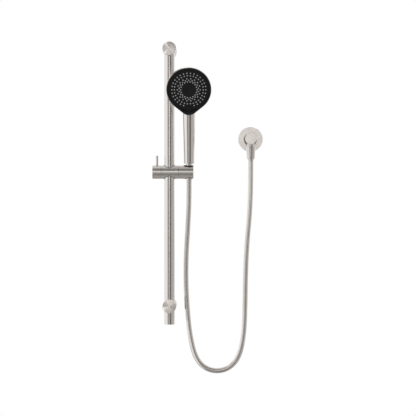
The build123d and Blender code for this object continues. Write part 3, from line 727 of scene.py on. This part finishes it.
RIGHT, OUT, UP = Vector((1.0, 0.0, 0.0)), Vector((0.0, -1.0, 0.0)), Vector((0.0, 0.0, 1.0))
GRIP_UP = Vector((0.0, -math.sin(LEAN), math.cos(LEAN)))
GRIP_OUT = Vector((0.0, -math.cos(LEAN), -math.sin(LEAN)))
RAIL_AXIS = Axis(OUT * STANDOFF, UP)
SLIDER_AXIS = Axis(OUT * STANDOFF + UP * SLIDER_HEIGHT, RIGHT)
HAND_AXIS = Axis(SLIDER_AXIS.place + RIGHT * HOLDER_SIDE, GRIP_UP)
FACE_AXIS = Axis(
    HAND_AXIS.place + GRIP_UP * HEAD_HEIGHT + GRIP_OUT * FACE_OUT,
    Vector((0.0, -math.cos(CANT), -math.sin(CANT))),
)
OUTLET_AXIS = Axis(RIGHT * OUTLET_SIDE + UP * OUTLET_HEIGHT, -OUT)
SPIGOT_AXIS = Axis(OUTLET_AXIS.place + OUT * SPIGOT_OUT, UP)


def owner_of(
    mesh: bpy.types.Mesh, face: bpy.types.MeshPolygon, axes: tuple[Axis, ...],
) -> tuple[int, float]:
    """Finds the axis that a face is turned about.

    Args:
        mesh: The face's mesh.
        face: The face.
        axes: The axes to choose from.

    Returns:
        The axis's number, or -1 for a face that isn't round, and the face's slope along it.
    """
    for number, axis in enumerate(axes):
        arm = axis.arm(face.center)
        slope = face.normal.dot(axis.way)
        if abs(slope) > FLAT_SLOPE or arm.length < 10 * TINY:
            continue
        outward = (face.normal - axis.way * slope).normalized()
        if abs(outward.dot(arm.normalized())) < ROUND_FACE:
            continue
        arms = [axis.arm(mesh.vertices[corner].co).normalized() for corner in face.vertices]
        if all(abs(outward.dot(way)) > ROUND_CORNER for way in arms):
            return number, slope
    return -1, 0.0


def round_normal(
    axis: Axis, point: Vector, face: bpy.types.MeshPolygon, near: list[tuple[float, float]],
) -> Vector:
    """Gives the exact normal of a round surface at a corner of one of its faces.

    Args:
        axis: The axis that the surface is turned about.
        point: The corner.
        face: The face.
        near: The slope and area of each face round the corner that shades with this one.

    Returns:
        The normal.
    """
    arm = axis.arm(point)
    if arm.length < TINY:
        return face.normal.copy()
    slope = sum(s * a for s, a in near) / max(sum(a for _, a in near), TINY * TINY)
    side = 1.0 if face.normal.dot(arm) > 0 else -1.0
    outward = arm.normalized() * side * math.sqrt(max(1 - slope * slope, 0.0))
    return (outward + axis.way * slope).normalized()


def turned_normals(mesh: bpy.types.Mesh, axes: tuple[Axis, ...]) -> None:
    """Gives turned faces the exact normals of their surface, so that they shade without ripples.

    Args:
        mesh: The mesh, whose normals are set.
        axes: Each axis that part of the mesh is turned about.
    """
    reach = math.sin(math.radians(COPY_ANGLE))
    found = [owner_of(mesh, face, axes) for face in mesh.polygons]
    around: dict[tuple[int, int], list[tuple[float, float]]] = {}
    for face, (owner, slope) in zip(mesh.polygons, found):
        for corner in face.vertices:
            around.setdefault((corner, owner), []).append((slope, face.area))
    normals: list[Vector] = []
    for face, (owner, slope) in zip(mesh.polygons, found):
        for corner in face.vertices:
            if owner < 0:
                normals.append(face.normal.copy())
                continue
            near = [(s, a) for s, a in around[corner, owner] if abs(s - slope) < reach]
            normals.append(round_normal(axes[owner], mesh.vertices[corner].co, face, near))
    mesh.normals_split_custom_set(normals)


def smooth_copy(node: str, *axes: Axis) -> None:
    """Replaces a CAD node by a welded copy with smooth curved faces.

    Args:
        node: The CAD node.
        axes: Each axis that part of it is turned about.
    """
    shape = bmesh.new()
    shape.from_mesh(NODES[node].data)
    bmesh.ops.remove_doubles(shape, verts=shape.verts, dist=TINY)
    mesh = mesh_of(shape, f"{node}_form")
    piece = finished(mesh, NODE_FINISH[node], body_of(NODES[node])[0], COPY_ANGLE)
    turned_normals(mesh, axes)
    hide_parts(node)


# ---- Rail, slider and handset ----
@dataclass(frozen=True)
class RailSet:
    """The round rail with its end cap and bushes, and the two posts with their front discs."""

    axis: Axis = RAIL_AXIS
    spacing: float = POST_SPACING

    def build(self) -> None:
        """Dresses the rail's pieces and then each post's."""
        for node in ("rail", "rail_end_cap", "upper_rail_bush", "lower_rail_bush"):
            smooth_copy(node, self.axis)
        for side, height in (("upper", 0.0), ("lower", -self.spacing)):
            across = Axis(UP * height, -OUT)
            smooth_copy(f"{side}_post", across, self.axis)
            smooth_copy(f"{side}_front_disc", across)


@dataclass(frozen=True)
class Slider:
    """The clamping slider: its body, its knob and the knob's pin."""

    axis: Axis = SLIDER_AXIS
    bore: Axis = RAIL_AXIS

    def build(self) -> None:
        """Dresses the body, the knob and the pin."""
        smooth_copy("slider_body", self.axis, self.bore)
        smooth_copy("clamp_knob", self.axis)
        smooth_copy("clamp_pin")


@dataclass(frozen=True)
class Holder:
    """The holder and its liner, with the two C-shaped rings that show in its open mouth."""

    axis: Axis = SLIDER_AXIS
    bore: Axis = HAND_AXIS
    inner: float = 11.75 * MM
    outer: float = 12.6 * MM
    opening: float = 14.5 * MM
    collar_low: float = 7.5 * MM
    rim_low: float = 12 * MM
    rim_high: float = 15.6 * MM
    chamfer_in: float = 0.2 * MM
    chamfer_down: float = 0.3 * MM
    steps: int = 56

    def ring(self, name: str, node: str, low: float, high: float) -> None:
        """Adds a ring in the dip of the mouth, open where the hose passes.

        Args:
            name: The ring's name.
            node: The CAD node that it stands for, which gives its body, slot and finish.
            low: Its lower end above the slider's axis, along the bore.
            high: Its upper end.
        """
        place, way = self.bore.place, self.bore.way
        gap = math.asin(self.opening / 2 / self.inner)
        start = Matrix.Rotation(gap, 3, way) @ RIGHT
        corners = [
            (self.inner, low), (self.outer, low), (self.outer, high - self.chamfer_down),
            (self.outer - self.chamfer_in, high), (self.inner, high),
        ]
        shape = bmesh.new()
        verts = [shape.verts.new(place + start * radius + way * height) for radius, height in corners]
        face = shape.faces.new(verts)
        bmesh.ops.spin(
            shape, geom=[face, *face.edges, *verts], cent=place, axis=way,
            angle=math.tau - 2 * gap, steps=self.steps,
        )
        bmesh.ops.recalc_face_normals(shape, faces=shape.faces)
        body = body_of(NODES[node])[0]
        piece = finished(mesh_of(shape, name), NODE_FINISH[node], body, RING_ANGLE)
        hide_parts(node)

    def build(self) -> None:
        """Dresses the holder and its liner and adds the collar and the dark rim over it."""
        smooth_copy("holder", self.axis, self.bore)
        smooth_copy("holder_liner", self.bore)
        self.ring("mouth_collar", "holder", self.collar_low, self.rim_low)
        self.ring("liner_rim", "holder_liner", self.rim_low, self.rim_high)


@dataclass(frozen=True)
class Handset:
    """The handset: its shell and inlet, and the turning spray face with its tab and cap."""

    grip: Axis = HAND_AXIS
    face: Axis = FACE_AXIS

    def build(self) -> None:
        """Dresses the shell and inlet and then the pieces of the face."""
        smooth_copy("handset_shell", self.grip, self.face)
        smooth_copy("handset_inlet", self.grip)
        for node in ("face_surround", "spray_plate", "centre_cap"):
            smooth_copy(node, self.face)
        for node in ("nozzle_mat", "selector_tab"):
            smooth_copy(node)


# ---- Outlet ----
@dataclass(frozen=True)
class Outlet:
    """The wall outlet: its rose, its elbow and a black ring between them that paints the shadow gap."""

    barrel: Axis = OUTLET_AXIS
    spigot: Axis = SPIGOT_AXIS
    # The black ring round the barrel that paints the shadow gap: its radii and its reach out from the wall.
    shadow_ring_inner: float = 13.8 * MM
    shadow_ring_outer: float = 15.25 * MM
    shadow_ring_back: float = 5 * MM
    seal_front: float = 6.2 * MM
    chamfer: float = 0.4 * MM
    steps: int = 64

    def seal(self) -> None:
        """Adds the black ring round the elbow's barrel, a painted shadow gap against the rose."""
        corners = [
            (self.shadow_ring_inner, self.shadow_ring_back), (self.shadow_ring_outer, self.shadow_ring_back),
            (self.shadow_ring_outer, self.seal_front - self.chamfer),
            (self.shadow_ring_outer - self.chamfer, self.seal_front), (self.shadow_ring_inner, self.seal_front),
        ]
        shape = bmesh.new()
        verts = [shape.verts.new(self.barrel.place + RIGHT * radius + OUT * out) for radius, out in corners]
        edges = [shape.edges.new(pair) for pair in zip(verts, verts[1:] + verts[:1])]
        bmesh.ops.spin(
            shape, geom=[*verts, *edges], cent=self.barrel.place, axis=self.barrel.way,
            angle=math.tau, steps=self.steps, use_merge=True,
        )
        bmesh.ops.recalc_face_normals(shape, faces=shape.faces)
        finished(mesh_of(shape, "rose_seal"), "seal", "wall_set", RING_ANGLE)

    def build(self) -> None:
        """Dresses the rose and the elbow and adds the black ring that paints the shadow gap."""
        smooth_copy("outlet_rose", self.barrel)
        smooth_copy("outlet_elbow", self.barrel, self.spigot)
        self.seal()


# ---- Hose ----
@dataclass
class Hose:
    """The silver hose, from the nut under the handset round its loop to the wall outlet.

    It is made in four chained lengths, each bending across one joint between its margins. The
    last one's bend lies along the outlet's leg, which takes the whole change of height, so
    that the loop and the inner leg follow the slider. The map's seam keeps to one side, and
    the route is in millimetres.
    """

    diameter: float = 12.5 * MM
    sides: int = 32
    steps: int = 24
    near: float = 77 * MM
    margin: float = 0.1
    seam: Place = (0.0, -1.0, 0.02)
    leg_high: Place = (0.191, -0.034, -0.28)
    leg_low: Place = (-0.0267, -0.034, -0.454)
    joints: tuple[tuple[str, str], ...] = (
        ("holder", "hose_end"), ("slider", "holder"), ("carriage", "slider"), ("wall_set", "carriage"),
    )
    route: list[Place] = field(default_factory=lambda: [
        (46, -55.07, -309.02), (46, -51.41, -350.86), (43.4, -47, -410), (38.8, -43, -480),
        (38.2, -40.5, -552), (42.3, -38.5, -618), (47.7, -37, -670), (59.3, -36, -720),
        (79.6, -35.2, -746.5), (111.5, -34.5, -756.6), (143.4, -34, -746.5), (164, -34, -719.5),
        (174.6, -34, -672), (177.6, -34, -606), (178.4, -34, -530), (181.8, -34, -455),
        (188.6, -34, -382), (191, -34, -316.95), (191, -34, -261.95),
    ])

    def line(self) -> list[Vector]:
        """Lays a smooth line along the route.

        Returns:
            The line's points.
        """
        curve = bpy.data.curves.new("hose_line", "CURVE")
        curve.dimensions = "3D"
        curve.resolution_u = self.steps
        spline = curve.splines.new("NURBS")
        spline.points.add(len(self.route) - 1)
        for point, place in zip(spline.points, self.route):
            point.co = (*(c * MM for c in place), 1.0)
        spline.order_u = 3
        spline.use_endpoint_u = True
        holder = bpy.data.objects.new("hose_line", curve)
        mesh = bpy.data.meshes.new_from_object(holder)
        points = [vertex.co.copy() for vertex in mesh.vertices]
        bpy.data.objects.remove(holder)
        bpy.data.curves.remove(curve)
        bpy.data.meshes.remove(mesh)
        return points

    def tube(self, name: str, points: list[Vector], start: float) -> bpy.types.Mesh:
        """Sweeps the hose's round section along part of its line.

        Args:
            name: The mesh's name.
            points: The line's points.
            start: The distance already run before the first point.

        Returns:
            The mesh, with its map round and along the line.
        """
        side = Vector(self.seam)
        shape = bmesh.new()
        shape.loops.layers.uv.new("along")
        rings: list[list[bmesh.types.BMVert]] = []
        runs: dict[bmesh.types.BMVert, float] = {}
        run = start
        for number, point in enumerate(points):
            before, after = points[max(number - 1, 0)], points[min(number + 1, len(points) - 1)]
            way = (after - before).normalized()
            across = (side - way * side.dot(way)).normalized()
            turn = Matrix((across, way.cross(across), way)).transposed().to_4x4()
            made = bmesh.ops.create_circle(
                shape, segments=self.sides, radius=self.diameter / 2, cap_ends=False,
                matrix=Matrix.Translation(point) @ turn,
            )["verts"]
            if number:
                run += (point - points[number - 1]).length
            runs.update({vertex: run for vertex in made})
            rings.append(made)
        for first, second in zip(rings, rings[1:]):
            edges: set[bmesh.types.BMEdge] = set()
            for ring in (first, second):
                edges.update(e for v in ring for e in v.link_edges if e.other_vert(v) in ring)
            bmesh.ops.bridge_loops(shape, edges=list(edges))
        self.map_faces(shape, points, runs)
        for ring in (rings[0], rings[-1]):
            rim = [e for e in shape.edges if e.is_boundary and e.verts[0] in ring]
            bmesh.ops.contextual_create(shape, geom=rim)
        bmesh.ops.recalc_face_normals(shape, faces=shape.faces)
        return mesh_of(shape, name)

    def map_faces(
        self, shape: bmesh.types.BMesh, points: list[Vector], runs: dict[bmesh.types.BMVert, float],
    ) -> None:
        """Gives each face its map: the turn from the seam across, and the run along the hose up.

        Args:
            shape: The tube.
            points: The points of its line.
            runs: The run along the hose at each vertex.
        """
        side = Vector(self.seam)
        layer = shape.loops.layers.uv["along"]
        for face in shape.faces:
            centre = face.calc_center_median()
            nearest = min(points, key=lambda point: (point - centre).length)
            for loop in face.loops:
                offset = loop.vert.co - nearest
                turn = math.atan2(offset.dot(side), offset.cross(side).length) / math.tau
                loop[layer].uv = (turn + 0.5, runs[loop.vert])

    def build(self) -> None:
        """Dresses the nuts and ferrules at the hose's ends and makes its lengths."""
        for end, axis in (("handset", HAND_AXIS), ("outlet", SPIGOT_AXIS)):
            smooth_copy(f"{end}_hose_nut", axis)
            smooth_copy(f"{end}_ferrule", axis)
        line = self.line()
        runs = [0.0]
        for first, second in zip(line, line[1:]):
            runs.append(runs[-1] + (second - first).length)
        stops = [0.0, self.near, 2 * self.near, 3 * self.near, runs[-1]]
        marks = [min(range(len(runs)), key=lambda n: abs(runs[n] - stop)) for stop in stops]
        for number, (first, last) in enumerate(zip(marks, marks[1:])):
            picked = line[first:last + 1]
            mesh = self.tube(f"hose_length_{number + 1}", picked, runs[first])
            piece = finished(mesh, "hose", "", HOSE_ANGLE)
            start, end = self.joints[number]
            near, far = picked[0], picked[-1]
            high, low = far.lerp(near, self.margin), near.lerp(far, self.margin)
            if last == marks[-1]:
                high, low = self.leg_high, self.leg_low
            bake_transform(piece, start, end, high, low)
            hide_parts("hose")


# ---- Studio and camera ----
WHITE = (1.0, 1.0, 1.0, 1.0)


@dataclass(frozen=True)
class Card:
    """A curved card that shows only in the object's reflections.

    Its ends are in degrees: azimuth is 0 on the camera's side and rises to the right, and
    height is above the level of the object's centre.
    """

    name: str
    azimuth: tuple[float, float]
    height: tuple[float, float]
    grey: float


@dataclass
class Studio:
    """A white room with grey cards on the camera's side, soft lamps and a pale floor."""

    centre: Place = (0.09, -0.05, -0.37)
    floor_z: float = -1.25
    floor_reach: float = 1.6
    floor_tint: tuple[float, float, float, float] = (0.86, 0.86, 0.86, 1.0)
    card_radius: float = 4.6
    card_steps: int = 24
    card_tint: tuple[float, float, float, float] = (1.0, 0.955, 0.92, 1.0)
    card_gain: float = 1.03
    disc_out: float = 77 * MM
    spark_out: float = 0.5
    spark_size: float = 0.05
    spark_tint: Tint = (1.0, 0.97, 0.95)
    spark_ways: tuple[tuple[float, float], ...] = ((-0.34, -0.2), (-0.19, 0.33))
    lamp_size: float = 1.6
    lens: float = 118.4
    sensor: float = 36.0
    eye: Place = (0.0902, -3.257, -0.3712)
    cards: tuple[Card, ...] = (
        Card("card_left_soft", (-52, -34), (-62, 62), 0.8),
        Card("card_left", (-34, -14), (-14, 62), 0.2),
        Card("card_left_glow", (-34, -14), (-30, -14), 0.95),
        Card("card_left_low", (-34, -14), (-62, -30), 0.2),
        Card("card_edge", (-14, -9), (-14, 0), 0.3),
        Card("card_stripe", (-9, 2), (-14, 0), 0.76),
        Card("card_front", (-14, 12), (0, 10), 1.1),
        Card("card_middle", (12, 38), (-62, 62), 0.16),
        Card("card_middle_high", (6, 12), (12, 62), 0.16),
        Card("card_middle_low", (2, 12), (-62, 0), 0.17),
        Card("card_above", (-14, 6), (30, 62), 0.25),
        Card("card_above_low", (-14, 6), (15, 24), 0.2),
        Card("card_above_glow", (-14, -5), (24, 30), 0.9),
        Card("card_above_right", (-5, 6), (24, 30), 0.2),
        Card("card_below", (-14, 2), (-62, -14), 0.28),
        Card("card_right", (38, 88), (-62, 62), 0.5),
        Card("card_far_right", (88, 112), (-62, 62), 0.55),
        Card("card_roof", (0, 360), (62, 89), 0.68),
        Card("card_under", (0, 360), (-89, -62), 0.36),
        Card("card_back_low", (100, 260), (-62, -18), 0.36),
    )

    def world(self) -> None:
        """Lights the world evenly and shows it white behind the object."""
        world = bpy.data.worlds.new("Studio")
        bpy.context.scene.world = world
        world.use_nodes = True
        world.node_tree.nodes.clear()
        graph = Graph(world.node_tree)
        out = graph.add("OutputWorld")
        path = graph.add("LightPath")
        seen = graph.math("MAXIMUM", path.outputs["Is Camera Ray"], path.outputs["Is Glossy Ray"])
        seen = graph.math("MAXIMUM", seen, path.outputs["Is Transmission Ray"])
        white = graph.add("Background", Color=WHITE, Strength=1.0)
        soft = graph.add("Background", Color=(0.98, 0.99, 1.0, 1.0), Strength=0.55)
        mix = graph.add("MixShader")
        for number, value in enumerate((seen, soft.outputs[0], white.outputs[0])):
            graph.put(mix, number, value)
        graph.put(out, "Surface", mix.outputs[0])

    def hang(self, card: Card) -> None:
        """Hangs a card round the object.

        Args:
            card: The card.
        """
        base = Vector(self.centre)
        low, high = (math.tan(math.radians(h)) * self.card_radius for h in card.height)
        first, last = (math.radians(end) for end in card.azimuth)
        foot = Vector((math.sin(first), -math.cos(first), 0)) * self.card_radius
        shape = bmesh.new()
        ends = [shape.verts.new(base + foot + UP * z) for z in (low, high)]
        edge = shape.edges.new(ends)
        bmesh.ops.spin(
            shape, geom=[*ends, edge], cent=base, axis=UP, angle=last - first, steps=self.card_steps,
        )
        mesh = mesh_of(shape, card.name)
        item = linked(card.name, mesh)
        material = bpy.data.materials.new(card.name)
        material.use_nodes = True
        material.cycles.emission_sampling = "NONE"
        material.node_tree.nodes.clear()
        graph = Graph(material.node_tree)
        out = graph.add("OutputMaterial")
        glow = graph.add("Emission", Color=self.card_tint, Strength=card.grey * self.card_gain)
        graph.put(out, "Surface", glow.outputs[0])
        mesh.materials.append(material)
        item.visible_camera = False
        item.visible_diffuse = False
        item.visible_shadow = False
        item.visible_transmission = False

    def lamp(self, name: str, place: Vector, target: Vector, size: float, power: float) -> bpy.types.Object:
        """Hangs a square lamp.

        Args:
            name: The lamp's name.
            place: Where it hangs.
            target: The point that it faces.
            size: Its side.
            power: Its power.

        Returns:
            The lamp.
        """
        light = bpy.data.lights.new(name, "AREA")
        light.shape, light.size, light.energy = "SQUARE", size, power
        lamp = linked(name, light)
        lamp.location = place
        lamp.rotation_mode = "QUATERNION"
        lamp.rotation_quaternion = (target - place).to_track_quat("-Z", "Y")
        return lamp

    def spark(self, side: str, height: float, way: tuple[float, float], power: float) -> None:
        """Hangs a lamp in front of one disc, for a highlight on its turned face alone.

        Args:
            side: Which post's disc the lamp lights.
            height: The height of the post.
            way: How far the lamp stands to the right and up, for each metre in front.
            power: The lamp's power.
        """
        disc = f"{side}_front_disc_form"
        lit = bpy.data.collections.new(f"lit_{disc}")
        lit.objects.link(bpy.data.objects[disc])
        target = OUT * self.disc_out + UP * height
        place = target + (RIGHT * way[0] + OUT + UP * way[1]) * self.spark_out
        lamp = self.lamp(f"spark_{disc}_{len(bpy.data.lights)}", place, target, self.spark_size, power)
        lamp.data.color = self.spark_tint
        lamp.light_linking.receiver_collection = lit

    def floor(self) -> None:
        """Lays the pale floor under the object, which the camera sees as white."""
        shape = bmesh.new()
        bmesh.ops.create_grid(
            shape, x_segments=8, y_segments=8, size=self.floor_reach,
            matrix=Matrix.Translation((*self.centre[:2], self.floor_z)),
        )
        mesh = mesh_of(shape, "floor")
        ground = linked("floor", mesh)
        material, graph, shader = new_material("Pale floor")
        seen = graph.add("LightPath").outputs["Is Camera Ray"]
        graph.feed(
            shader, Base_Color=self.floor_tint, Roughness=0.8, Emission_Color=WHITE, Emission_Strength=seen,
        )
        mesh.materials.append(material)
        ground.visible_glossy = False

    def camera(self) -> None:
        """Sets the camera square to the wall, level with the middle of the set."""
        data = bpy.data.cameras.new("camera")
        data.lens, data.sensor_width = self.lens, self.sensor
        data.clip_end = 50.0
        camera = linked("camera", data)
        camera.location = self.eye
        camera.rotation_euler = (math.pi / 2, 0.0, 0.0)
        bpy.context.scene.camera = camera

    def build(self) -> None:
        """Builds the world, floor, cards, lamps and camera."""
        bpy.context.scene.view_settings.view_transform = "Standard"
        self.world()
        self.floor()
        for card in self.cards:
            self.hang(card)
        for side, height, powers in (("upper", 0.0, (0.085, 0.03)), ("lower", -POST_SPACING, (0.06, 0.03))):
            for way, power in zip(self.spark_ways, powers):
                self.spark(side, height, way, power)
        for name, place, power in (("key", (-2.6, -1.6, 1.6), 60.0), ("fill", (2.4, -2.4, 0.6), 30.0)):
            soft = self.lamp(name, Vector(place), Vector(self.centre), self.lamp_size, power)
            soft.visible_glossy = False
        self.camera()


# ---- Whole set ----
def main() -> None:
    logging.basicConfig(level=logging.INFO)
    for node, finish in NODE_FINISH.items():
        data = NODES[node].data
        data.materials.clear()
        data.materials.append(MATERIALS[finish])
    for assembly in (RailSet(), Slider(), Holder(), Handset(), Outlet(), Hose(), Studio()):
        assembly.build()


if __name__ == "__main__":
    main()
